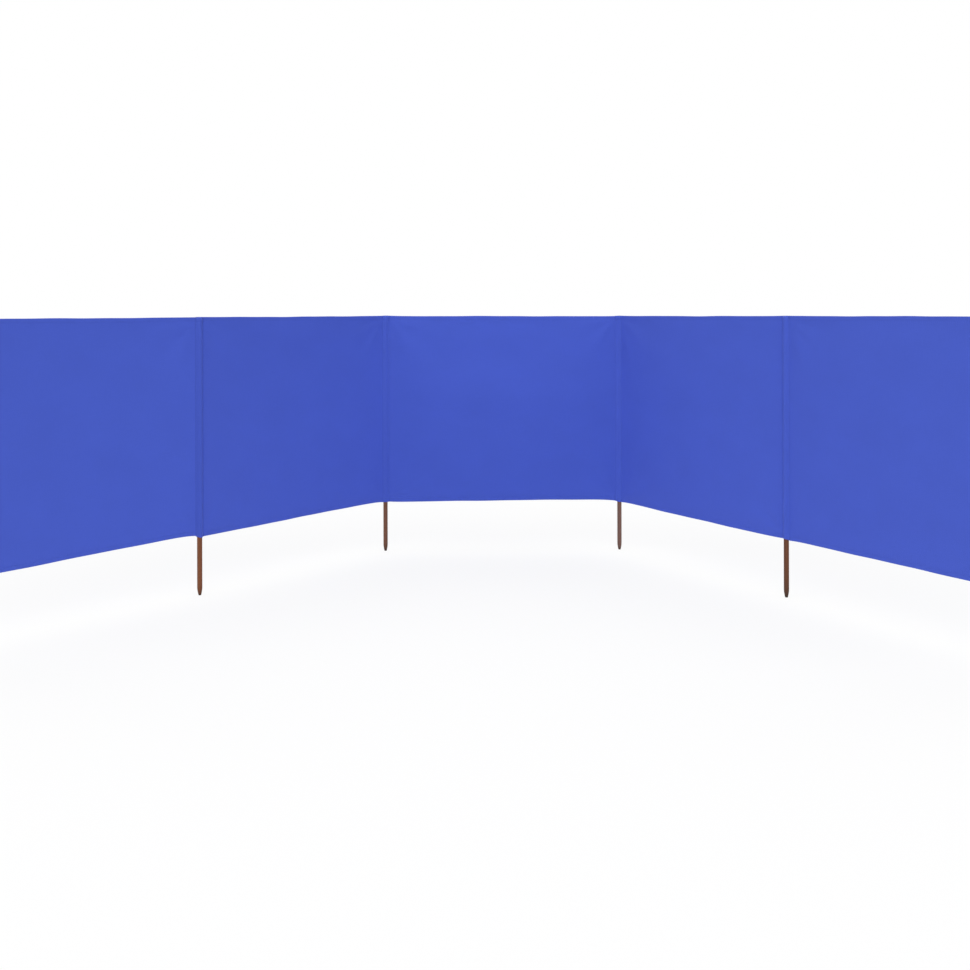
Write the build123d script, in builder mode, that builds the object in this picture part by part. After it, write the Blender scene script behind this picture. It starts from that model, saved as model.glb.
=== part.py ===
from build123d import *
from math import cos, radians, sin
import os

# Beach windbreak: a strip of cloth in five bays, held up by six plain wooden poles.
# Each pole slides up into a pocket sewn across the strip, open at its mouth and drawn
# together over the pole's top. The bare leg under the cloth stands in the ground.
# Poles and bays are counted from the left, seen from the side that the cloth shelters.
# The origin is the blunt foot of the third pole, +Z is up, and the middle bay runs
# along +X, with the sheltered side towards -Y.

# The row on the ground, in millimetres and degrees
bay_length = 1200.0
bay_headings = [49.25, 52.02, 0.0, -61.16, -60.59]
home_pole = 3

# Poles
pole_length = 1196.0
pole_diameter = 22.0
taper_length = 36.0
tip_diameter = 11.0
tip_bevel = 2.5

# Cloth, with the thickness that one ply has in this model, and how far its top edge
# stands above the inside top of the pole pockets
ply = 0.8
leg_length = 250.0
top_cover = 3.2
hem_width = 18.0
hem_plies = 3
fold_bevel = 0.9

# How far each bay's cloth bellies to the left of its heading, half way along it:
# at its bottom hem, at half its height and at its top hem
bellies = [(28, 36, 22), (26, 33, 20), (25, 32, 20), (-16, -22, -12), (-12, -18, -9)]

# How far each bay's edges lie above leg_length and above cloth_top:
# at its left seam, half way along it and at its right seam
bottom_lifts = [(-6, 0, 14), (0, 0, 8), (-1, 1, 6), (-1, 0, -4), (-2, -1, -4)]
top_lifts = [(-1, -1, 0), (1, 0, 1), (0, -1.5, -4), (-1, -2, -1), (0, -1, 0)]

# Pole pockets: room round and over the pole, the angle at which the front and back
# plies close on the middle of the cloth, the width that is sewn flat beside them, and
# how far they draw together above the pole's top
pocket_ease = 0.3
closing_angle = 40.0
seam_allowance = 5.0
ridge_height = 5.0

# Worked out from the sizes above
pole_radius = pole_diameter / 2
tip_radius = tip_diameter / 2
lumen_radius = pole_radius + pocket_ease
lumen_top = pole_length + pocket_ease
cloth_top = lumen_top + top_cover
seam_start = lumen_radius / sin(radians(closing_angle))
seam_end = seam_start + seam_allowance
up = Vector(0, 0, 1)

os.makedirs("parts", exist_ok=True)


def export(piece, name):
    """Label a finished piece with its node's name and write it."""
    piece.part.label = name
    export_step(piece.part, f"parts/{name}.step")


def bay_direction(heading):
    """Unit vector along the ground at the heading's angle from +X."""
    return Vector(1, 0, 0).rotate(Axis.Z, heading)


def pole_feet():
    """Feet of all poles, one bay length after another, with the home pole's at the origin."""
    feet = [Vector(0, 0, 0)]
    for heading in bay_headings:
        feet.append(feet[-1] + bay_direction(heading) * bay_length)
    return [foot - feet[home_pole - 1] for foot in feet]


def build_pole(number, foot):
    """A dowel: one profile revolved, with a long taper down to a bevelled, blunt foot."""
    with BuildPart() as pole:
        with BuildSketch(Plane(origin=foot, x_dir=(1, 0, 0), z_dir=(0, -1, 0))):
            with BuildLine():
                Polyline(
                    (0, 0),
                    (tip_radius - tip_bevel, 0),
                    (tip_radius, tip_bevel),
                    (pole_radius, taper_length),
                    (pole_radius, pole_length),
                    (0, pole_length),
                    close=True,
                )
            make_face()
        revolve(axis=Axis(foot, up))
    export(pole, f"pole_{number}")


def draw_lens(radius, headings):
    """A circle round the pole, with two tangents drawn out to a point along each bay."""
    reach = radius / sin(radians(closing_angle))
    touch_x = radius * sin(radians(closing_angle))
    touch_y = radius * cos(radians(closing_angle))
    Circle(radius)
    for heading in headings:
        with PolarLocations(0, 1, start_angle=heading):
            Polygon((0, 0), (touch_x, -touch_y), (reach, 0), (touch_x, touch_y), align=None)


def draw_flats(width, headings):
    """The pocket's plies lying flat on each other, from the pole's axis out to each seam's end."""
    for heading in headings:
        with PolarLocations(0, 1, start_angle=heading):
            Rectangle(seam_end, width, align=(Align.MIN, Align.CENTER))


def build_pocket(number, foot, headings):
    """A tube of cloth round the pole, pointed along its bays.

    It is hemmed at both ends and drawn together in a ridge over the pole's top.
    """
    mouth = Plane(origin=foot + up * leg_length)
    eaves = Plane(origin=foot + up * lumen_top)
    ridge = Plane(origin=foot + up * (lumen_top + ridge_height))
    top_hem_base = cloth_top - hem_width
    hems = ((mouth, hem_width), (Plane(origin=foot + up * top_hem_base), lumen_top - top_hem_base))
    with BuildPart() as pocket:
        with BuildSketch(mouth):
            draw_lens(lumen_radius + ply, headings)
        extrude(amount=lumen_top - leg_length)
        with BuildSketch(mouth):
            draw_flats(2 * ply, headings)
        extrude(amount=lumen_top + ridge_height - leg_length)
        for base, height in hems:
            with BuildSketch(base):
                draw_lens(lumen_radius + 2 * ply, headings)
                draw_flats(4 * ply, headings)
            extrude(amount=height)
        with BuildSketch(eaves):
            draw_lens(lumen_radius + 2 * ply, headings)
        with BuildSketch(ridge):
            draw_lens(ply, headings)
        loft(ruled=True)
        with BuildSketch(mouth):
            draw_lens(lumen_radius, headings)
        extrude(amount=lumen_top - leg_length, mode=Mode.SUBTRACT)
    export(pocket, f"pole_pocket_{number}")


def build_band(foot, heading, plies, bottom, top, belly):
    """A strip of one bay's cloth, lofted from its left seam through its bellied middle to its right.

    bottom and top are the heights of its edges at those three slices. belly is how far the middle
    slice stands to the left of the bay's heading, at its bottom edge, half way up and at its top edge.
    """
    along = bay_direction(heading)
    half = plies * ply / 2
    places = (seam_end, bay_length / 2, bay_length - seam_end)
    leans = ((0, 0, 0), belly, (0, 0, 0))
    with BuildPart() as band:
        for place, low, high, (lean_low, lean_middle, lean_high) in zip(places, bottom, top, leans):
            bow = 2 * lean_middle - (lean_low + lean_high) / 2
            with BuildSketch(Plane(origin=foot + along * place, x_dir=up.cross(along), z_dir=along)):
                with BuildLine():
                    faces = [
                        Bezier(
                            (lean_low + side, low),
                            (bow + side, (low + high) / 2),
                            (lean_high + side, high),
                        )
                        for side in (-half, half)
                    ]
                    Line(faces[0] @ 0, faces[1] @ 0)
                    Line(faces[0] @ 1, faces[1] @ 1)
                make_face()
        loft()
    return band


def build_hem(name, foot, heading, bottom, top, lean, fold):
    """A folded hem: an upright band whose outer edge is bevelled as a fold.

    fold picks that edge's face by height: 0 for the lowest and -1 for the highest.
    """
    hem = build_band(foot, heading, hem_plies, bottom, top, (lean, lean, lean))
    with hem:
        edge_face = hem.faces().sort_by(Axis.Z)[fold]
        chamfer(edge_face.edges().sort_by(SortBy.LENGTH)[-2:], length=fold_bevel)
    export(hem, name)


def build_bay(number, foot, heading, belly, bottom_lift, top_lift):
    """One bay of cloth: a single-ply panel between a folded bottom hem and a folded top hem."""
    bottom = [leg_length + lift for lift in bottom_lift]
    panel_bottom = [height + hem_width for height in bottom]
    top = [cloth_top + lift for lift in top_lift]
    panel_top = [height - hem_width for height in top]
    build_hem(f"bottom_hem_{number}", foot, heading, bottom, panel_bottom, belly[0], 0)
    export(build_band(foot, heading, 1, panel_bottom, panel_top, belly), f"panel_{number}")
    build_hem(f"top_hem_{number}", foot, heading, panel_top, top, belly[2], -1)


feet = pole_feet()

# Poles, and the pockets round them, each pointed along the bays that meet there
left_headings = [None] + [heading + 180 for heading in bay_headings]
right_headings = bay_headings + [None]
for number, (foot, left, right) in enumerate(zip(feet, left_headings, right_headings), start=1):
    build_pole(number, foot)
    build_pocket(number, foot, [heading for heading in (left, right) if heading is not None])

# Bays of cloth between the pockets
bays = zip(feet, bay_headings, bellies, bottom_lifts, top_lifts)
for number, bay in enumerate(bays, start=1):
    build_bay(number, *bay)
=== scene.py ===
import math

import bpy
import numpy as np
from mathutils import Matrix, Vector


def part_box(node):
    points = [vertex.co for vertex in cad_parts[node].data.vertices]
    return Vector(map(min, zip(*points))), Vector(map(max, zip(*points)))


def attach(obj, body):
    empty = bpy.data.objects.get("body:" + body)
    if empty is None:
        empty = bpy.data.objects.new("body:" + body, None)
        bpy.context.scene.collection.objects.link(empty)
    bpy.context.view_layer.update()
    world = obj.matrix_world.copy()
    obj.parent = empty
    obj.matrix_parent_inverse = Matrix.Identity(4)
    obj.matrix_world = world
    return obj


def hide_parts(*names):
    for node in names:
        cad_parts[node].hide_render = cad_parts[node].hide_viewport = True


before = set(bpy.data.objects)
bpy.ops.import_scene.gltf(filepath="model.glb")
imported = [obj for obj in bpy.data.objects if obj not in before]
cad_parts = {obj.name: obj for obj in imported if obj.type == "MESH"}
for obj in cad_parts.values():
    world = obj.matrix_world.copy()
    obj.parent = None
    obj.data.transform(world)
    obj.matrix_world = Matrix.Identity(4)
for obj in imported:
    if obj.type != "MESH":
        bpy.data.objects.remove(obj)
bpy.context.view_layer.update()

# The beach windbreak's looks: cloth bays with folded hems, pole pockets, sewing thread
# and wooden poles. Everything is in metres. Poles and bays are counted from the left,
# seen from the sheltered side. The side away from it is the far side, which lies to the
# left of each bay's heading.

MM = 0.001
POLES = 6
BAYS = POLES - 1

# What the frame gives: the poles' feet, their radius, and the heights of the pockets
pole_boxes = [[np.array(corner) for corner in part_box(f"pole_{n + 1}")] for n in range(POLES)]
FEET = np.array([(low + high) / 2 for low, high in pole_boxes])[:, :2]
POLE_RADIUS = (pole_boxes[0][1] - pole_boxes[0][0])[0] / 2
POLE_LENGTH = pole_boxes[0][1][2]
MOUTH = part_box("pole_pocket_3")[0].z
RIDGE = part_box("pole_pocket_3")[1].z

BAY_VECTORS = np.diff(FEET, axis=0)
BAY_LENGTH = np.linalg.norm(BAY_VECTORS[0])
ALONG = BAY_VECTORS / BAY_LENGTH
ACROSS = np.stack([-ALONG[:, 1], ALONG[:, 0]], axis=1)

# Cloth: one ply, the hems and how far their near and far faces stand off, how far a panel
# runs into its hems and seams, how far a pocket's ridge rises above the cloth, and how far
# from a hem's inner edge its row of stitches lies
PLY = 0.6 * MM
HEM_WIDTH = 18 * MM
HEM_NEAR = 0.55 * MM
HEM_FAR = 1.15 * MM
HEM_TUCK = 1.5 * MM
SEAM_TUCK = 1.5 * MM
RIDGE_RISE = 1.8 * MM
CLOTH_TOP = RIDGE - RIDGE_RISE
CUT_HEIGHT = CLOTH_TOP - MOUTH
SEAM_ROW = 2.5 * MM

# How far each bay's cloth bellies to the far side, half way along it: at its bottom hem,
# at half its height and at its top hem. How far its edges lie above MOUTH and above
# CLOTH_TOP: at its left seam, half way along and at its right seam
BELLIES = MM * np.array(
    [(28, 36, 22), (26, 33, 20), (25, 32, 20), (-16, -22, -12), (-12, -18, -9)]
)
BOTTOM_LIFTS = MM * np.array(
    [(-9, -2, 15.5), (0.5, -1.5, 7), (-2, 0.5, 7), (-1, -1, -4.5), (-2, -1, -4)]
)
TOP_LIFTS = MM * np.array(
    [(-0.5, -0.5, 1), (2, 1, 3), (1, 0, -2.5), (-0.5, -0.5, 0.5), (1, 0.5, 1)]
)

# How far the cloth's corners at its left and right seams are drawn up from those edges,
# how far along the hem that reaches, and how far each pocket's mouth and ridge are drawn up
BOTTOM_PULLS = MM * np.array([(0, -7), (0, -6), (2.5, -7), (-4, 3), (-3.5, 0)])
TOP_PULLS = MM * np.array([(0, 0), (0, 0), (2.5, 1.5), (1, 1), (0.5, 0)])
PULL_REACH = 45 * MM
MOUTH_PULLS = MM * np.array([0, -1, 0, -4, 0, 0])
RIDGE_PULLS = MM * np.array([0, 0.5, 2.5, -1, 0, 0])

# Pole pockets: the room round the pole, the angle at which the plies close beside it, their
# flat seams, or wings, and half the thickness of a wing, plain and at its hems
POCKET_EASE = 0.3 * MM
CLOSING_ANGLE = math.radians(40)
SEAM_ALLOWANCE = 5 * MM
LUMEN = POLE_RADIUS + POCKET_EASE
SEAM_START = LUMEN / math.sin(CLOSING_ANGLE)
SEAM_END = SEAM_START + SEAM_ALLOWANCE
SEAM_TO_SEAM = BAY_LENGTH - 2 * SEAM_END
WING_HALF = 0.9 * MM
WING_HEM_HALF = 1.6 * MM
EAVES = POLE_LENGTH + POCKET_EASE

# A pocket's hem steps down to its plain cloth from before the hem's width to after it
STEP_BEFORE = 0.4 * MM
STEP_AFTER = 0.6 * MM

# Each pole's wood: how grey it has weathered and how dark its stain is, from 0 to 1, and how
# far up its foot has darkened
POLE_TONES = [
    (0.1, 0.1, 20 * MM),
    (0, 0, 15 * MM),
    (0.35, 0.15, 20 * MM),
    (0.85, 0.05, 12 * MM),
    (0, 0.42, 44 * MM),
    (0.2, 0.15, 25 * MM),
]

# Painted shade: how much darker each pocket's cloth is painted than the bays' cloth, as a share
POCKET_PAINTED_SHADES = [0.02, 0.06, 0, 0, 0, 0.01]

# Sewing thread, and where a pocket's rows of stitches and its bar tacks run along a wing
STITCH_LENGTH = 3.6 * MM
STITCH_PITCH = 4.4 * MM
THREAD_RADIUS = 0.2 * MM
STITCH_ROWS = (SEAM_END - 1.6 * MM, SEAM_END - 4.1 * MM)
TACK_REACH = SEAM_END - 2.8 * MM
TACK_HALF = 1.9 * MM
TACK_HEIGHT = 9 * MM
TACK_STITCHES = 12

# Seeds of what differs at random from piece to piece, to which a piece's number is added
EDGE_SEED = 10
POLE_SEED = 20
RELIEF_SEED = 40
HEM_SEED = 70
POCKET_SEED = 90

# The cloth's colour, linear, and the name of its map
BLUE = (0.0568, 0.1012, 0.531)
CLOTH_MAP = "cloth"


class Value:
    """A number or colour that varies over a surface: a node's output socket.

    Python's arithmetic on it adds Math nodes to the material that it belongs to.
    """

    def __init__(self, finish, socket):
        self.finish = finish
        self.socket = socket

    def math(self, operation, *others):
        """A Math node's result for this value and others."""
        return self.finish.math(operation, self, *others)

    def __add__(self, other):
        return self.math("ADD", other)

    def __radd__(self, other):
        return self.finish.math("ADD", other, self)

    def __sub__(self, other):
        return self.math("SUBTRACT", other)

    def __rsub__(self, other):
        return self.finish.math("SUBTRACT", other, self)

    def __mul__(self, other):
        return self.math("MULTIPLY", other)

    def __rmul__(self, other):
        return self.finish.math("MULTIPLY", other, self)

    def __truediv__(self, other):
        return self.math("DIVIDE", other)

    def __abs__(self):
        return self.math("ABSOLUTE")

    def __pow__(self, other):
        return self.math("POWER", other)

    def sine(self):
        """The sine of this value, which is an angle in radians."""
        return self.math("SINE")


class Finish:
    """A material or world made of nodes."""

    def __init__(self, owner):
        owner.use_nodes = True
        self.owner = owner
        self.tree = owner.node_tree
        self.tree.nodes.clear()

    def node(self, kind, output, settings=None, inputs=None):
        """Adds a node, sets it up, fills its inputs, and returns one of its outputs.

        With no output named, it returns the node itself.
        """
        node = self.tree.nodes.new(kind)
        for name, setting in (settings or {}).items():
            setattr(node, name, setting)
        for name, content in (inputs or {}).items():
            if isinstance(content, Value):
                self.tree.links.new(content.socket, node.inputs[name])
            elif content is not None:
                node.inputs[name].default_value = content
        return Value(self, node.outputs[output]) if output is not None else node

    def math(self, operation, *terms):
        """A Math node's result for some values or numbers."""
        return self.node("ShaderNodeMath", 0, {"operation": operation}, dict(enumerate(terms)))

    def mix(self, share, first, second):
        """The first colour where share is 0 and the second where it is 1."""
        settings = {"data_type": "RGBA", "clamp_factor": True}
        first, second = (c if isinstance(c, Value) else (*c, 1) for c in (first, second))
        # A Mix node's inputs 6 and 7 are its colours, and its output 2 is their mixture
        return self.node("ShaderNodeMix", 2, settings, {0: share, 6: first, 7: second})

    def scaled(self, vector, factors):
        """A vector with each of its parts multiplied by its own factor."""
        return self.node(
            "ShaderNodeVectorMath", 0, {"operation": "MULTIPLY"}, {0: vector, 1: factors}
        )

    def noise(self, vector, factors, detail=2.0):
        """Soft noise from 0 to 1. factors say how many blotches each axis has to the metre."""
        inputs = {"Vector": self.scaled(vector, factors), "Scale": 1.0, "Detail": detail}
        return self.node("ShaderNodeTexNoise", "Fac", None, inputs)

    def parts(self, vector):
        """The parts of a vector as three values."""
        split = self.node("ShaderNodeSeparateXYZ", None, None, {0: vector})
        return [Value(self, socket) for socket in split.outputs]

    def bump(self, height, distance, strength):
        """Normals tilted as by relief: height, in units of distance."""
        inputs = {"Height": height, "Distance": distance, "Strength": strength}
        return self.node("ShaderNodeBump", "Normal", None, inputs)

    def surface(self, **inputs):
        """Ends a material in one Principled shader."""
        named = {name.replace("_", " "): content for name, content in inputs.items()}
        shader = self.node("ShaderNodeBsdfPrincipled", 0, None, named)
        self.end("ShaderNodeOutputMaterial", shader)
        return self.owner

    def end(self, kind, shader):
        """Links a shader to an output node of a kind."""
        self.node(kind, None, None, {"Surface": shader})


def shade(colour, factor):
    """A colour with each of its parts multiplied by a factor."""
    return tuple(factor * part for part in colour)


def cloth_finish(name, colour, puckered=False):
    """Plain-woven polyester: threads that pass over and under each other, some of them thicker.

    Its map is in metres, along the row and up the cloth. The attribute tone darkens it with painted
    shade, which only the pockets carry. With puckered, it draws into short waves beside the seams
    and hems, which fade away from them.
    """
    thread_pitch = 0.62 * MM
    pucker_depth = 2.2
    pucker_reach = 14 * MM
    seam_wave = 13 * MM
    hem_wave = 9 * MM
    cloth = Finish(bpy.data.materials.new(name))
    place = cloth.node("ShaderNodeUVMap", "UV", {"uv_map": CLOTH_MAP})
    along, up, _ = cloth.parts(place)
    turns = math.pi / thread_pitch
    over = (along * turns).sine() * (up * turns).sine()
    thick_weft = cloth.noise(place, (18, 1100, 1))
    thick_warp = cloth.noise(place, (1100, 18, 1))
    slubs = thick_weft + thick_warp - 1
    mottle = cloth.noise(place, (5, 7, 1), 3)
    share = 0.5 + 0.16 * over + 0.55 * slubs + 0.5 * (mottle - 0.5)
    woven = cloth.mix(share, shade(colour, 0.9), shade(colour, 1.1))
    # Painted shade: the pockets' tone darkens the woven colour towards black
    darkness = cloth.node("ShaderNodeAttribute", "Fac", {"attribute_name": "tone"})
    base = cloth.mix(darkness, woven, (0, 0, 0))
    height = abs(over) ** 0.7 + 0.6 * slubs
    if puckered:
        for across, start, end, beside, wave in (
            (along, SEAM_END, BAY_LENGTH - SEAM_END, up, seam_wave),
            (up, HEM_WIDTH, CUT_HEIGHT - HEM_WIDTH, along, hem_wave),
        ):
            away = (across - start).math("MINIMUM", end - across)
            wander = 5 * cloth.noise(place, (14, 14, 1), 1)
            waves = (beside * (2 * math.pi / wave) + wander).sine()
            height = height + pucker_depth * waves * (away / -pucker_reach).math("EXPONENT")
    return cloth.surface(
        Base_Color=base,
        Roughness=0.78 - 0.08 * abs(over),
        Specular_IOR_Level=0.2,
        Sheen_Weight=0.03,
        Sheen_Roughness=0.6,
        Normal=cloth.bump(height, 0.12 * MM, 0.8),
    )


def thread_finish(name, colour):
    """Twisted polyester thread with a soft gloss."""
    thread = Finish(bpy.data.materials.new(name))
    place = thread.node("ShaderNodeTexCoord", "Object")
    fibres = thread.noise(place, (2600, 2600, 2600))
    return thread.surface(
        Base_Color=thread.mix(fibres, shade(colour, 0.8), shade(colour, 1.2)),
        Roughness=0.5 + 0.15 * fibres,
        Specular_IOR_Level=0.35,
        Normal=thread.bump(fibres, 0.05 * MM, 0.6),
    )


def wood_finish(name):
    """Red-brown stained hardwood: growth rings cut along the dowel, pores and a dark, worn foot.

    It reads each pole's own place from the attribute grain, measured from the pole's foot, and
    its greyness, darkness and the reach of its dark foot from the attribute tone.
    """
    ring_width = 1.9 * MM
    pith = (14 * MM, 6 * MM)
    dark_stain = (0.095, 0.026, 0.009)
    pale_stain = (0.25, 0.09, 0.036)
    grey_wood = (0.155, 0.088, 0.075)
    deep_stain = (0.05, 0.018, 0.01)
    pore = (0.05, 0.022, 0.014)
    damp_foot = (0.022, 0.015, 0.011)
    wood = Finish(bpy.data.materials.new(name))
    grain = wood.node("ShaderNodeAttribute", "Vector", {"attribute_name": "grain"})
    tone = wood.node("ShaderNodeAttribute", "Vector", {"attribute_name": "tone"})
    x, y, z = wood.parts(grain)
    greyness, darkness, foot_reach = wood.parts(tone)
    wander = wood.noise(grain, (70, 70, 2.2), 3)
    from_pith = ((x - pith[0]) ** 2 + (y - pith[1]) ** 2) ** 0.5
    rings = 0.5 + 0.5 * ((from_pith / ring_width + 2.4 * wander) * (2 * math.pi)).sine()
    streaks = wood.noise(grain, (700, 700, 9), 4)
    pores = wood.noise(grain, (2600, 2600, 90), 2)
    depth = 0.42 * rings + 0.75 * streaks - 0.1
    stained = wood.mix(depth, dark_stain, pale_stain)
    weathered = wood.mix(greyness, stained, grey_wood)
    toned = wood.mix(darkness, weathered, deep_stain)
    pored = wood.mix((pores - 0.62) * 5, toned, pore)
    foot = (z / (foot_reach * (-0.55 - 0.9 * streaks))).math("EXPONENT")
    coloured = wood.mix(foot * 0.92, pored, damp_foot)
    height = 0.5 * streaks + 0.4 * rings - 0.5 * pores
    return wood.surface(
        Base_Color=coloured,
        Roughness=0.42 + 0.2 * streaks,
        Specular_IOR_Level=0.25,
        Normal=wood.bump(height, 0.15 * MM, 0.55),
    )


def grid_corners(rows, columns, closed):
    """Rows and columns of the four corners of each quad in a grid.

    With closed, the last column joins the first.
    """
    spans = columns if closed else columns - 1
    i, j = np.meshgrid(np.arange(rows - 1), np.arange(spans), indexing="ij")
    corner_rows = np.stack([i, i, i + 1, i + 1], axis=-1).reshape(-1, 4)
    corner_columns = np.stack([j, j + 1, j + 1, j], axis=-1).reshape(-1, 4)
    return corner_rows, corner_columns


def signed_volume(points, faces):
    """Six times the volume inside quads, positive if they face outwards.

    Each quad adds the triple products of the corners of its two triangles.
    """
    a, b, c, d = (points[faces[:, k]] for k in range(4))
    return (a * np.cross(b, c)).sum() + (a * np.cross(c, d)).sum()


def add_piece(name, points, faces, finish, corner_map=None, caps=()):
    """A smooth mesh object from an array of points and one of quads, riding on the row.

    corner_map gives a place on the cloth to each corner of each quad, and caps are more faces,
    each a list of points, that close its ends.
    """
    if corner_map is not None and caps:
        spare = sum(len(cap) for cap in caps)
        corner_map = np.concatenate([corner_map.reshape(-1, 2), np.zeros((spare, 2))])
    mesh = bpy.data.meshes.new(name)
    mesh.from_pydata(points.tolist(), [], faces.tolist() + [list(cap) for cap in caps])
    mesh.polygons.foreach_set("use_smooth", np.ones(len(mesh.polygons), dtype=bool))
    if corner_map is not None:
        layer = mesh.uv_layers.new(name=CLOTH_MAP)
        layer.data.foreach_set("uv", corner_map.astype(np.float32).ravel())
    mesh.materials.append(finish)
    mesh.update()
    piece = bpy.data.objects.new(name, mesh)
    bpy.context.scene.collection.objects.link(piece)
    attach(piece, "root")
    return piece


def add_attribute(piece, name, kind, part, values):
    """Gives every point of a piece a value or a vector, for the piece's finish to read."""
    layer = piece.data.attributes.new(name, kind, "POINT")
    layer.data.foreach_set(part, np.asarray(values, dtype=np.float32).ravel())


def add_tube(name, rings, finish, around, beside):
    """A closed surface through rings of points, one ring a row, with a cap on each end.

    around and beside are its map: the distance round each ring, and from ring to ring.
    """
    rows, columns = rings.shape[:2]
    corner_rows, corner_columns = grid_corners(rows, columns, True)
    faces = corner_rows * columns + corner_columns % columns
    points = rings.reshape(-1, 3)
    first = np.arange(columns)[::-1]
    last = np.arange(columns) + (rows - 1) * columns
    if signed_volume(points, faces) < 0:
        faces = faces[:, ::-1]
        corner_rows, corner_columns = corner_rows[:, ::-1], corner_columns[:, ::-1]
        first, last = first[::-1], last[::-1]
    corner_map = np.stack([around[corner_columns], beside[corner_rows]], axis=-1)
    return add_piece(name, points, faces, finish, corner_map, (first, last))


def through_three(share, values):
    """The parabola that has the three values at shares 0, a half and 1.

    Each value is multiplied by the parabola that is 1 at its own share and 0 at the others.
    """
    left, middle, right = values
    return (
        left * 2 * (share - 0.5) * (share - 1)
        + middle * 4 * share * (1 - share)
        + right * 2 * share * (share - 0.5)
    )


def seam_share(distance):
    """Where a distance from the left pole lies between a bay's two seams, from 0 to 1."""
    return (distance - SEAM_END) / SEAM_TO_SEAM


def edge_height(bay, distance, top):
    """Height of a bay's top or bottom edge.

    It is a parabola through the edge's lifts, plus corners drawn up by amounts that fade
    exponentially along the hem, plus two slight sine waves that vanish at the seams.
    """
    lifts, pulls = (TOP_LIFTS, TOP_PULLS) if top else (BOTTOM_LIFTS, BOTTOM_PULLS)
    share = np.clip(seam_share(distance), 0, 1)
    drawn = pulls[bay][0] * np.exp(-share * SEAM_TO_SEAM / PULL_REACH)
    drawn = drawn + pulls[bay][1] * np.exp(-(1 - share) * SEAM_TO_SEAM / PULL_REACH)
    rng = np.random.default_rng(EDGE_SEED + 2 * bay + top)
    wave = sum(
        size * MM * np.sin(2 * math.pi * (share * turns + rng.uniform()))
        for size, turns in ((0.7, rng.uniform(1.5, 2.5)), (0.35, rng.uniform(4, 6)))
    )
    level = CLOTH_TOP if top else MOUTH
    return level + through_three(share, lifts[bay]) + drawn + wave * np.sin(np.pi * share)


def relief(bay, distance, rise):
    """Fine form on the cloth, in metres to the far side.

    It adds long shallow draws from pole to pole, folds that fan out of the four corners, and
    ripples along the two seams. distance is from the left pole, and rise is from 0 at the
    bottom hem to 1 at the top hem. The draws are sine waves up the cloth, the folds sine waves
    of the angle round a corner, and all of it fades out at the seams.
    """
    draws = ((0.47, 1.6 * MM), (0.29, 1.0 * MM), (0.17, 0.5 * MM))
    fold_depth = 1.3 * MM
    ripple_depth = 0.7 * MM
    ripple_reach = 0.05
    seam_fade = 0.02
    rng = np.random.default_rng(RELIEF_SEED + bay)
    share = seam_share(distance)
    height = rise * CUT_HEIGHT
    from_seam = np.clip(np.minimum(distance - SEAM_END, BAY_LENGTH - SEAM_END - distance), 0, None)
    total = 0
    for wave, size in draws:
        slant, phase = rng.uniform(-0.5, 0.5), rng.uniform(0, 2 * math.pi)
        level = height / wave + slant * share
        total = total + size * np.sin(2 * math.pi * level + phase) * 4 * share * (1 - share)
    for right in (0, 1):
        for top in (0, 1):
            away = np.abs(distance - SEAM_END - right * SEAM_TO_SEAM)
            beyond = np.abs(height - top * CUT_HEIGHT)
            radius, angle = np.hypot(away, beyond), np.arctan2(beyond, away + 1e-9)
            folds, phase = rng.uniform(7, 11), rng.uniform(0, 2 * math.pi)
            reach = rng.uniform(0.09, 0.15)
            fan = np.sin(folds * angle + phase) * radius / reach * np.exp(1 - radius / reach)
            total = total + fold_depth * fan
    for right in (0, 1):
        away = np.abs(distance - SEAM_END - right * SEAM_TO_SEAM)
        wave, phase = rng.uniform(0.07, 0.11), rng.uniform(0, 2 * math.pi)
        ripple = np.sin(2 * math.pi * height / wave + phase + 1.5 * np.sin(height * 9))
        total = total + ripple_depth * ripple * np.exp(-away / ripple_reach)
    return total * (1 - np.exp(-from_seam / seam_fade))


def cloth_offset(bay, distance, rise):
    """How far the cloth's middle stands to the far side of the straight line from pole to pole.

    That is a parabola along the bay times a parabola up the cloth, plus the fine relief.
    """
    share = np.clip(seam_share(distance), 0, 1)
    belly = 4 * share * (1 - share) * through_three(rise, BELLIES[bay])
    return belly + relief(bay, distance, rise)


def in_bay(bay, distance, offset, height):
    """Points at a distance along a bay, an offset to its far side and a height."""
    distance, offset, height = np.broadcast_arrays(distance, offset, height)
    ground = FEET[bay] + distance[..., None] * ALONG[bay] + offset[..., None] * ACROSS[bay]
    return np.concatenate([ground, height[..., None]], axis=-1)


def spread(start, end, step, border=1 * MM):
    """Evenly spaced values from start to end, with one more close to each end."""
    middle = np.linspace(start + border, end - border, round((end - start) / step))
    return np.concatenate([[start], middle, [end]])


def make_panel(bay, finish):
    """The single-ply cloth of a bay, a grid over distance along and height.

    Its edges run a little way into the seams and hems that hold them.
    """
    distance = spread(SEAM_END - SEAM_TUCK, BAY_LENGTH - SEAM_END + SEAM_TUCK, 10 * MM)
    rise = spread(0, 1, 0.011, 0.0011)
    low = edge_height(bay, distance, False) + HEM_WIDTH - HEM_TUCK
    high = edge_height(bay, distance, True) - HEM_WIDTH + HEM_TUCK
    heights = low + rise[:, None] * (high - low)
    cut = HEM_WIDTH - HEM_TUCK + rise * (CUT_HEIGHT - 2 * (HEM_WIDTH - HEM_TUCK))
    points = in_bay(bay, distance, cloth_offset(bay, distance, rise[:, None]), heights)
    corner_rows, corner_columns = grid_corners(len(rise), len(distance), False)
    faces = corner_rows * len(distance) + corner_columns
    corner_map = np.stack([distance[corner_columns], cut[corner_rows]], axis=-1)
    name = f"panel_{bay + 1}_cloth"
    panel = add_piece(name, points.reshape(-1, 3), faces, finish, corner_map)
    thickness = panel.modifiers.new("ply", "SOLIDIFY")
    thickness.thickness = PLY
    thickness.offset = 0
    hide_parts(f"panel_{bay + 1}")
    return panel


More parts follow.
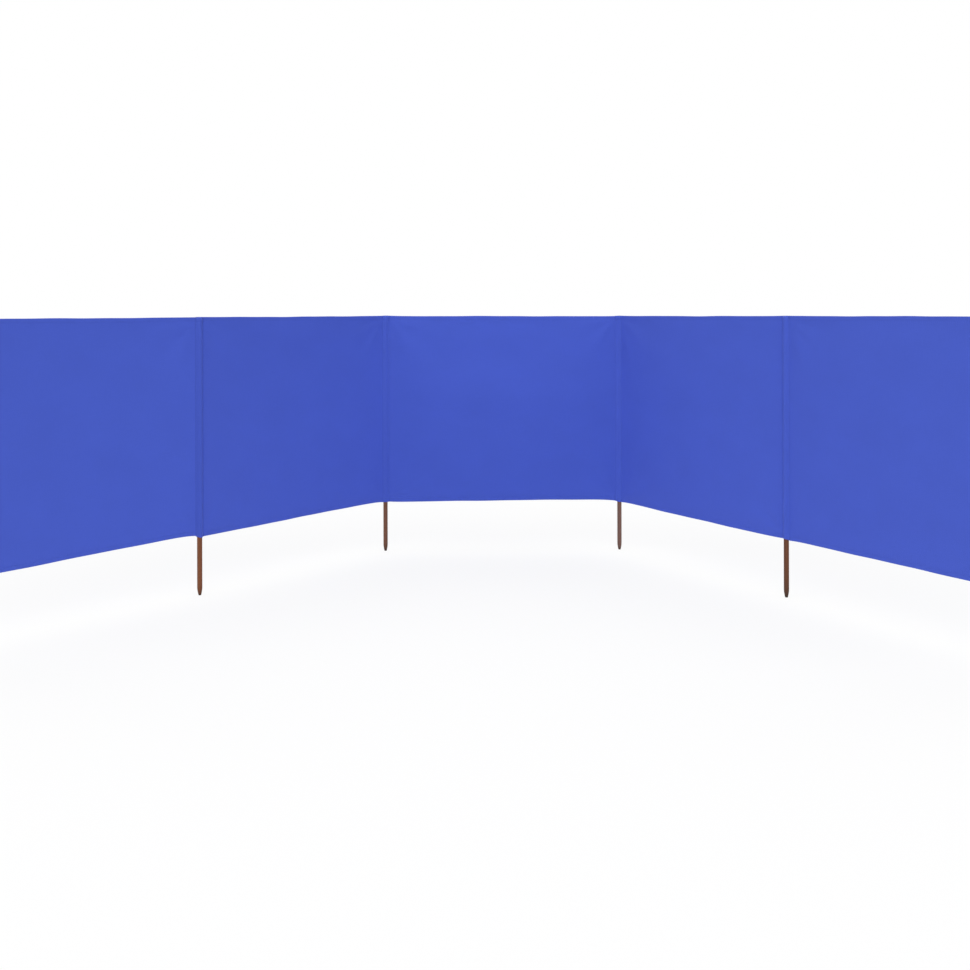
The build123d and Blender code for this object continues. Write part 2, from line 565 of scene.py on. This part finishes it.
def hem_section():
    """A folded hem across its width: distances in from its outer edge, and its near and far faces.

    The near face lies flush with the panel, the far face stands off by the two plies that are
    turned under, the outer edge is a round fold, and the row of stitches pulls both faces in.
    """
    pull_depth, pull_reach = 0.22 * MM, 1.1 * MM
    puff_height = 0.12 * MM
    end_round = 0.5 * MM
    inward = MM * np.array(
        [0, 0.15, 0.5, 1.0, 2.0, 4.5, 8.0, 11.5, 14.3, 15.5, 16.6, 17.5, 17.9, 18]
    )
    middle = (HEM_FAR - HEM_NEAR) / 2
    half = (HEM_FAR + HEM_NEAR) / 2
    circle = np.sqrt(np.clip(1 - (1 - inward / half) ** 2, 0, 1))
    fold = circle * (inward < half) + (inward >= half)
    end = np.sqrt(np.clip((HEM_WIDTH - inward) / end_round, 0, 1))
    pulled = pull_depth * np.exp(-(((inward - HEM_WIDTH + SEAM_ROW) / pull_reach) ** 2))
    puffed = puff_height * np.sin(np.pi * np.clip(inward / (HEM_WIDTH - SEAM_ROW), 0, 1))
    near = middle - (half - pulled + puffed) * fold
    far = middle + (half - pulled + puffed) * fold * end
    return inward, near, far


def make_hem(bay, top, finish):
    """A folded hem, its section carried along the cloth's bottom or top edge.

    Its shallow puckers are two sine waves along it, deepest between its fold and its stitches.
    Returns the hem and the lines that its rows of stitches follow.
    """
    pucker_depth = 0.09 * MM
    pucker_waves = (3.1 * MM, 4.7 * MM)
    distance = spread(SEAM_END - SEAM_TUCK, BAY_LENGTH - SEAM_END + SEAM_TUCK, 5 * MM)
    inward, near, far = hem_section()
    edge = edge_height(bay, distance, top)
    offset = cloth_offset(bay, distance, float(top))
    rng = np.random.default_rng(HEM_SEED + 2 * bay + top)
    phases = rng.uniform(0, 2 * math.pi, 2)
    pucker = sum(np.sin(distance / wave + phase) for wave, phase in zip(pucker_waves, phases))
    between = np.sin(np.pi * np.clip(inward / (HEM_WIDTH - SEAM_ROW), 0, 1))
    puckers = pucker_depth * pucker[:, None] * between
    down = -1 if top else 1

    def face(side):
        """One face's points: a row for each distance and a column for each step inwards."""
        height = edge[:, None] + down * inward
        return in_bay(bay, distance[:, None], offset[:, None] + side + puckers, height)

    rings = np.concatenate([face(near), face(far)[:, :0:-1]], axis=1)
    widths = np.concatenate([inward, 2 * HEM_WIDTH - inward[::-1]])
    place = "top" if top else "bottom"
    hem = add_tube(f"{place}_hem_{bay + 1}_fold", rings, finish, widths, distance)
    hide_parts(f"{place}_hem_{bay + 1}")
    row = np.argmin(np.abs(inward - HEM_WIDTH + SEAM_ROW))
    return hem, [face(near)[:, row], face(far)[:, row]]


def pocket_outline(headings, radius, half):
    """Outlines of a pocket across its pole, one for each radius and half thickness of its wings.

    Along each heading, in degrees, an outline has a flat wing with a round edge. The wing opens
    along two tangents of the circle, and the circle's arcs join the wings. A wing's own axes are
    its heading and the square to it, so a point on it is (reach, side), turned by the heading.
    """
    radius, half = radius[:, None], half[:, None]
    touch = radius * math.sin(CLOSING_ANGLE), radius * math.cos(CLOSING_ANGLE)
    flat_start = radius / math.sin(CLOSING_ANGLE) - half / math.tan(CLOSING_ANGLE)
    flat_end = SEAM_END - half
    arc_points = 44
    share = np.linspace(0, 1, 5)
    turn = np.linspace(0, np.pi / 2, 4)
    reach = np.concatenate(
        [
            touch[0] + share * (flat_start - touch[0]),
            flat_start + share[1:] * (flat_end - flat_start),
            flat_end + half * np.sin(turn[1:]),
        ],
        axis=1,
    )
    side = np.concatenate(
        [
            touch[1] + share * (half - touch[1]),
            half + 0 * share[1:],
            half * np.cos(turn[1:]),
        ],
        axis=1,
    )
    reach = np.concatenate([reach, reach[:, -2::-1]], axis=1)
    side = np.concatenate([-side, side[:, -2::-1]], axis=1)
    parts = []
    opening = math.pi / 2 - CLOSING_ANGLE
    angles = np.radians(np.sort(headings))
    for angle, following in zip(angles, [*angles[1:], angles[0] + 2 * math.pi]):
        x = reach * math.cos(angle) - side * math.sin(angle)
        y = reach * math.sin(angle) + side * math.cos(angle)
        parts.append(np.stack([x, y], axis=-1))
        steps = arc_points // len(angles)
        arc = np.linspace(angle + opening, following - opening, steps + 2)[1:-1]
        parts.append(radius[..., None] * np.stack([np.cos(arc), np.sin(arc)], axis=-1))
    outline = np.concatenate(parts, axis=1)
    return (np.roll(outline, 1, axis=1) + 2 * outline + np.roll(outline, -1, axis=1)) / 4


def wings_of(pole):
    """For each bay at a pole: its direction from the pole, and its edges' heights at the seam.

    The bottom edge's height comes first, then the top edge's.
    """
    wings = []
    if pole > 0:
        wings.append((-ALONG[pole - 1], pole - 1, BAY_LENGTH - SEAM_END))
    if pole < BAYS:
        wings.append((ALONG[pole], pole, SEAM_END))
    return [
        (direction, edge_height(bay, place, False), edge_height(bay, place, True))
        for direction, bay, place in wings
    ]


def smooth_step(values, start, end):
    """0 before start, 1 after end, and between them 3 s squared less 2 s cubed of the share s."""
    share = np.clip((values - start) / (end - start), 0, 1)
    return share * share * (3 - 2 * share)


def meet_edges(pole, ground, height):
    """Heights with the mouth and ridge of each wing bent towards the hems that they meet.

    The bend grows with the 1.5th power of the share of the way along the wing, and fades
    exponentially away from the mouth and ridge.
    """
    mouth_reach = 35 * MM
    ridge_reach = 20 * MM
    at_mouth = np.exp(-(height - MOUTH) / mouth_reach)
    at_ridge = np.exp(-(RIDGE - height) / ridge_reach)
    level = height + at_mouth * MOUTH_PULLS[pole] + at_ridge * RIDGE_PULLS[pole]
    for direction, bottom, top in wings_of(pole):
        share = np.clip(ground @ direction / SEAM_END, 0, 1) ** 1.5
        level = level + share * at_mouth * (bottom - MOUTH - MOUTH_PULLS[pole])
        level = level + share * at_ridge * (top - RIDGE - RIDGE_PULLS[pole])
    return level


def in_pocket_hem(height):
    """1 inside a pocket's hems at its mouth and top, and 0 between them."""
    lower, upper = MOUTH + HEM_WIDTH, CLOTH_TOP - HEM_WIDTH
    low = 1 - smooth_step(height, lower - STEP_BEFORE, lower + STEP_AFTER)
    high = smooth_step(height, upper - STEP_AFTER, upper + STEP_BEFORE)
    return np.maximum(low, high)


def make_pocket(pole, finish):
    """A pole pocket: its outline carried down the inside, round the mouth and up the outside.

    Over the pole's top the round part narrows until the front and back plies lie on each other.
    The cloth stands off the pole in slack folds: sine waves of height and bearing, the finest
    of them gathered near the mouth and top.
    """
    body_levels, inside_step, closing_levels = 120, 12, 10
    rim_height, rim_start = 0.8 * MM, 0.15
    lumen_half = 0.1 * MM
    slack_depth = 0.22 * MM
    gather_height, gather_spread = 45 * MM, 30 * MM
    slack_start, slack_full = 8 * MM, 30 * MM
    free_border = 5 * MM
    directions = [direction for direction, _, _ in wings_of(pole)]
    headings = [math.degrees(math.atan2(y, x)) % 360 for x, y in directions]
    near_hem = HEM_WIDTH + np.array([-STEP_BEFORE, 0, STEP_AFTER / 2, STEP_AFTER])
    body = np.concatenate(
        [
            np.linspace(MOUTH, EAVES, body_levels),
            MOUTH + MM * np.array([0.15, 0.4, 0.8, 1.4, 2.5]),
            MOUTH + near_hem,
            CLOTH_TOP - near_hem,
        ]
    )
    body.sort()
    inside = body[::-inside_step]
    closing = np.linspace(0, 1, closing_levels)[1:]
    in_hem = in_pocket_hem(body)
    rim = np.sqrt(np.clip(1 - (1 - (body - MOUTH) / rim_height) ** 2, 0, 1))
    rim = np.where(body > MOUTH + rim_height, 1, rim_start + (1 - rim_start) * rim)
    outer_radius = LUMEN + PLY * (1 + in_hem) * rim
    outer_half = (WING_HALF + (WING_HEM_HALF - WING_HALF) * in_hem) * rim
    top_radius = WING_HEM_HALF + (outer_radius[-1] - WING_HEM_HALF) * (1 - closing**1.7)
    height = np.concatenate([inside, body, EAVES + closing * (RIDGE - EAVES)])
    radius = np.concatenate([np.full(len(inside), LUMEN), outer_radius, top_radius])
    half = np.concatenate(
        [np.full(len(inside), lumen_half), outer_half, np.full(len(closing), WING_HEM_HALF)]
    )
    outline = pocket_outline(headings, radius, half)
    from_axis = np.linalg.norm(outline, axis=-1)
    bearing = np.arctan2(outline[..., 1], outline[..., 0])
    rng = np.random.default_rng(POCKET_SEED + pole)
    phases = rng.uniform(0, 2 * math.pi, 3)
    level = height[:, None]
    from_ends = np.minimum(level - MOUTH, CLOTH_TOP - level)
    gathered = np.exp(-((from_ends - gather_height) / gather_spread) ** 2)
    slack = 0
    folds = ((1, 0.21, 2), (0.7, 0.093, -3), (0.9 * gathered, 0.031, 4))
    for (size, wave, slant), phase in zip(folds, phases):
        slack = slack + size * np.sin(2 * math.pi * level / wave + slant * bearing + phase)
    free = 1 - smooth_step(from_axis, SEAM_START - free_border, SEAM_START)
    ends = smooth_step(from_ends, slack_start, slack_full)
    outer = np.concatenate([np.zeros(len(inside)), np.ones(len(body)), np.zeros(len(closing))])
    stand_off = slack_depth * (slack + 2.2) * free * ends * outer[:, None]
    outline *= 1 + (stand_off / from_axis)[..., None]
    level = meet_edges(pole, outline, np.broadcast_to(level, from_axis.shape))
    rings = np.concatenate([FEET[pole] + outline, level[..., None]], axis=-1)
    middle_ring = outline[len(inside) + len(body) // 2]
    steps = np.linalg.norm(np.roll(middle_ring, -1, axis=0) - middle_ring, axis=1)
    around = np.concatenate([[0], np.cumsum(steps)])
    beside = np.concatenate([-inside, height[len(inside):]])
    pocket = add_tube(f"pole_pocket_{pole + 1}_cloth", rings, finish, around, beside)
    # Painted shade: each pocket's own share darkens its cloth, which its finish reads as tone
    tones = np.full(len(pocket.data.vertices), POCKET_PAINTED_SHADES[pole])
    add_attribute(pocket, "tone", "FLOAT", "value", tones)
    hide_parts(f"pole_pocket_{pole + 1}")
    return pocket


def row_of_stitches(path, facing):
    """Centres, half lengths as vectors and outward directions of even stitches along a path.

    The path's travelled length is shared out evenly, and each stitch lies along its chord.
    """
    steps = np.linalg.norm(np.diff(path, axis=0), axis=1)
    travelled = np.concatenate([[0], np.cumsum(steps)])
    count = int(travelled[-1] / STITCH_PITCH)
    places = (np.arange(count) + 0.5) * travelled[-1] / count

    def at(where, values):
        """Values read off along the path, straight from point to point."""
        return np.stack([np.interp(where, travelled, values[:, k]) for k in range(3)], axis=1)

    centres = at(places, path)
    half = STITCH_LENGTH / 2
    directions = at(places + half, path) - at(places - half, path)
    directions /= np.linalg.norm(directions, axis=1, keepdims=True)
    outwards = at(places, np.broadcast_to(facing, path.shape))
    return centres, directions * half, outwards


def make_stitches(name, rows, finish):
    """All the stitches of some rows, in one piece.

    Each is a short thread of square rings, which dips into the cloth at both ends.
    """
    centres, reaches, outwards = (np.concatenate(parts) for parts in zip(*rows))
    outwards = outwards / np.linalg.norm(outwards, axis=1, keepdims=True)
    sideways = np.cross(outwards, reaches)
    sideways /= np.linalg.norm(sideways, axis=1, keepdims=True)
    stations = np.array([-1, -0.6, 0.6, 1])
    thickness = THREAD_RADIUS * np.array([0.35, 1, 1, 0.35])
    lift = THREAD_RADIUS * np.array([-1.2, 0.55, 0.55, -1.2])
    turn = np.radians([45, 135, 225, 315])
    along = np.repeat(stations, 4)
    side = np.outer(thickness, np.cos(turn)).ravel()
    up = np.outer(thickness, np.sin(turn)).ravel() + np.repeat(lift, 4)
    points = (
        centres[:, None]
        + along[:, None] * reaches[:, None]
        + side[:, None] * sideways[:, None]
        + up[:, None] * outwards[:, None]
    )
    corner_rows, corner_columns = grid_corners(len(stations), 4, True)
    one = np.concatenate([corner_rows * 4 + corner_columns % 4, [[3, 2, 1, 0], [12, 13, 14, 15]]])
    if signed_volume(points[0], one) < 0:
        one = one[:, ::-1]
    faces = one + np.arange(len(centres))[:, None, None] * along.size
    piece = add_piece(name, points.reshape(-1, 3), faces.reshape(-1, 4), finish)
    return piece


def hem_rows(bay, lines):
    """The rows of stitches on a hem's near and far faces, each facing away from the cloth."""
    far = np.array([*ACROSS[bay], 0])
    return [row_of_stitches(line, side * far) for line, side in zip(lines, (-1, 1))]


def pocket_rows(pole):
    """Two rows of stitches up each wing on both faces, and bar tacks across its two ends."""
    rows = []
    ends = 3 * MM
    tack_lift = 0.1 * MM
    path_points = 500

    def on_wing(direction, side, reach, height):
        """Points on one face of a wing, at a reach from the pole's axis and at heights."""
        half = WING_HALF + (WING_HEM_HALF - WING_HALF) * in_pocket_hem(height)
        square = side * np.array([-direction[1], direction[0]])
        ground = reach * direction + half[:, None] * square
        level = meet_edges(pole, ground, height)
        points = np.concatenate([FEET[pole] + ground, level[:, None]], axis=1)
        return points, np.array([*square, 0])

    for direction, _, _ in wings_of(pole):
        for side in (-1, 1):
            for reach in STITCH_ROWS:
                height = np.linspace(MOUTH + ends, CLOTH_TOP - ends, path_points)
                rows.append(row_of_stitches(*on_wing(direction, side, reach, height)))
            for low in (MOUTH + ends, CLOTH_TOP - ends - TACK_HEIGHT):
                height = low + np.linspace(0, TACK_HEIGHT, TACK_STITCHES)
                centres, square = on_wing(direction, side, TACK_REACH, height)
                reaches = np.broadcast_to(TACK_HALF * np.array([*direction, 0]), centres.shape)
                outwards = np.broadcast_to(square, centres.shape)
                rows.append((centres + tack_lift * square, reaches, outwards))
    return rows


def make_pole(pole, finish):
    """A dowel: a profile turned round its axis, with a rounded taper down to a blunt, worn foot."""
    taper_length = 36 * MM
    tip_radius = 6.2 * MM
    tip_bevel = 2.2 * MM
    top_bevel = 0.8 * MM
    wear_reach = 14 * MM
    rng = np.random.default_rng(POLE_SEED + pole)
    taper = taper_length * np.linspace(0, 1, 16)[1:] ** 1.3
    foot_levels = tip_bevel * (1 - np.cos(np.linspace(0, np.pi / 2, 6)))
    shaft = np.linspace(taper_length, POLE_LENGTH - top_bevel, 50)[1:]
    above_bevel = tip_bevel + taper * (1 - tip_bevel / taper_length)
    rim_levels = [POLE_LENGTH - 0.25 * top_bevel, POLE_LENGTH]
    height = np.concatenate([foot_levels, above_bevel, shaft, rim_levels])
    bulge = np.sin(np.pi / 2 * np.clip((height - tip_bevel) / (taper_length - tip_bevel), 0, 1))
    radius = tip_radius + (POLE_RADIUS - tip_radius) * bulge
    low = np.clip(height / tip_bevel, 0, 1)
    radius -= 0.55 * tip_bevel * (1 - np.sqrt(1 - (1 - low) ** 2))
    radius[-2:] -= np.array([0.35, 1]) * top_bevel
    turn = np.linspace(0, 2 * np.pi, 48, endpoint=False)
    wear = sum(
        rng.uniform(0.03, 0.09) * np.sin(k * turn + rng.uniform(0, 6.3)) for k in (2, 3, 5, 7)
    )
    worn = radius[:, None] + MM * wear * np.exp(-height / wear_reach)[:, None] * 1.6
    local = np.stack(
        [worn * np.cos(turn), worn * np.sin(turn), np.broadcast_to(height[:, None], worn.shape)],
        axis=-1,
    )
    rings = local + np.array([*FEET[pole], 0])
    dowel = add_tube(f"pole_{pole + 1}_dowel", rings, finish, np.append(turn, 2 * np.pi), height)
    offset = np.array([*rng.uniform(-6, 6, 2) * MM, rng.uniform(0, 3)])
    grain = local + offset * (1, 1, 0)
    tones = np.tile(POLE_TONES[pole], (len(dowel.data.vertices), 1))
    add_attribute(dowel, "grain", "FLOAT_VECTOR", "vector", grain)
    add_attribute(dowel, "tone", "FLOAT_VECTOR", "vector", tones)
    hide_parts(f"pole_{pole + 1}")


def make_floor():
    """A wide plain floor: one square.

    The camera sees it mostly as white and only a little as lit, so its shadow is faint.
    """
    half = 60
    white_share = 0.85
    corners = half * np.array([(-1, -1, 0), (1, -1, 0), (1, 1, 0), (-1, 1, 0)])
    mesh = bpy.data.meshes.new("floor")
    mesh.from_pydata(corners.tolist(), [], [(0, 1, 2, 3)])
    floor = bpy.data.objects.new("floor", mesh)
    bpy.context.scene.collection.objects.link(floor)
    paint = Finish(bpy.data.materials.new("floor"))
    lit = paint.node("ShaderNodeBsdfDiffuse", 0, None, {"Color": (0.9, 0.9, 0.9, 1)})
    white = paint.node("ShaderNodeEmission", 0, None, {"Color": (1, 1, 1, 1), "Strength": 1})
    share = white_share * background_share(paint)
    seen = paint.node("ShaderNodeMixShader", 0, None, {0: share, 1: lit, 2: white})
    paint.end("ShaderNodeOutputMaterial", seen)
    mesh.materials.append(paint.owner)


def background_share(finish):
    """1 for rays that show the background: from the camera, by reflection or through glass."""
    rays = ("Is Camera Ray", "Is Glossy Ray", "Is Transmission Ray")
    seen = [finish.node("ShaderNodeLightPath", ray) for ray in rays]
    return finish.math("MINIMUM", seen[0] + seen[1] + seen[2], 1)


def make_world():
    """Even light from all round, with plain white behind the object."""
    fill_light = 0.2
    world = bpy.data.worlds.new("studio")
    bpy.context.scene.world = world
    sky = Finish(world)
    white = (1, 1, 1, 1)
    light = sky.node("ShaderNodeBackground", 0, None, {"Color": white, "Strength": fill_light})
    seen = sky.node("ShaderNodeBackground", 0, None, {"Color": white, "Strength": 1})
    mixed = sky.node("ShaderNodeMixShader", 0, None, {0: background_share(sky), 1: light, 2: seen})
    sky.end("ShaderNodeOutputWorld", mixed)


def make_lamp(name, bearing, elevation, strength):
    """A broad distant lamp. Its light comes from bearing, in degrees to the right of the front."""
    breadth = 50
    lamp = bpy.data.lights.new(name, "SUN")
    lamp.energy = strength
    lamp.angle = math.radians(breadth)
    holder = bpy.data.objects.new(name, lamp)
    holder.rotation_euler = (math.radians(90 - elevation), 0, math.radians(bearing))
    bpy.context.scene.collection.objects.link(holder)


def make_camera():
    """The photo's view: level, a little above the cloth's top, with the frame shifted down."""
    picture = 970
    focal_pixels = 1197
    horizon_row = 312.5
    sensor = 36
    place = (0.415, -6.137, 1.218)
    roll = 0.0024
    heading = math.radians(-0.905)
    camera = bpy.data.cameras.new("camera")
    camera.sensor_width = sensor
    camera.lens = focal_pixels / picture * sensor
    camera.shift_y = (horizon_row - picture / 2) / picture
    holder = bpy.data.objects.new("camera", camera)
    holder.location = place
    holder.rotation_euler = (math.radians(90), roll, heading)
    bpy.context.scene.collection.objects.link(holder)
    bpy.context.scene.camera = holder


bpy.context.scene.view_settings.view_transform = "Standard"

# The finishes: hems and pockets are painted a little darker than the panels, as shade for their
# doubled plies, which let less light through; the thread is a little darker than the panels too
panel_finish = cloth_finish("panel_cloth", BLUE, puckered=True)
hem_finish = cloth_finish("hem_cloth", shade(BLUE, 0.985))
pocket_finish = cloth_finish("pocket_cloth", shade(BLUE, 0.975))
thread = thread_finish("sewing_thread", shade(BLUE, 0.85))
pole_finish = wood_finish("pole_wood")

for pole in range(POLES):
    make_pole(pole, pole_finish)
    pocket = make_pocket(pole, pocket_finish)
    sewing = make_stitches(
        f"pocket_{pole + 1}_stitches", pocket_rows(pole), thread
    )

for bay in range(BAYS):
    panel = make_panel(bay, panel_finish)
    top_hem, top_lines = make_hem(bay, True, hem_finish)
    bottom_hem, bottom_lines = make_hem(bay, False, hem_finish)
    sewing = make_stitches(
        f"hem_{bay + 1}_stitches",
        hem_rows(bay, top_lines) + hem_rows(bay, bottom_lines),
        thread,
    )

make_floor()
make_world()
make_lamp("lamp_left", -60, 35, 1.18)
make_lamp("lamp_right", 60, 35, 1.01)
make_lamp("lamp_front", 0, 35, 1.0)
make_lamp("lamp_behind_left", -152, 40, 0.8)
make_lamp("lamp_behind_right", 152, 40, 0.8)
make_camera()
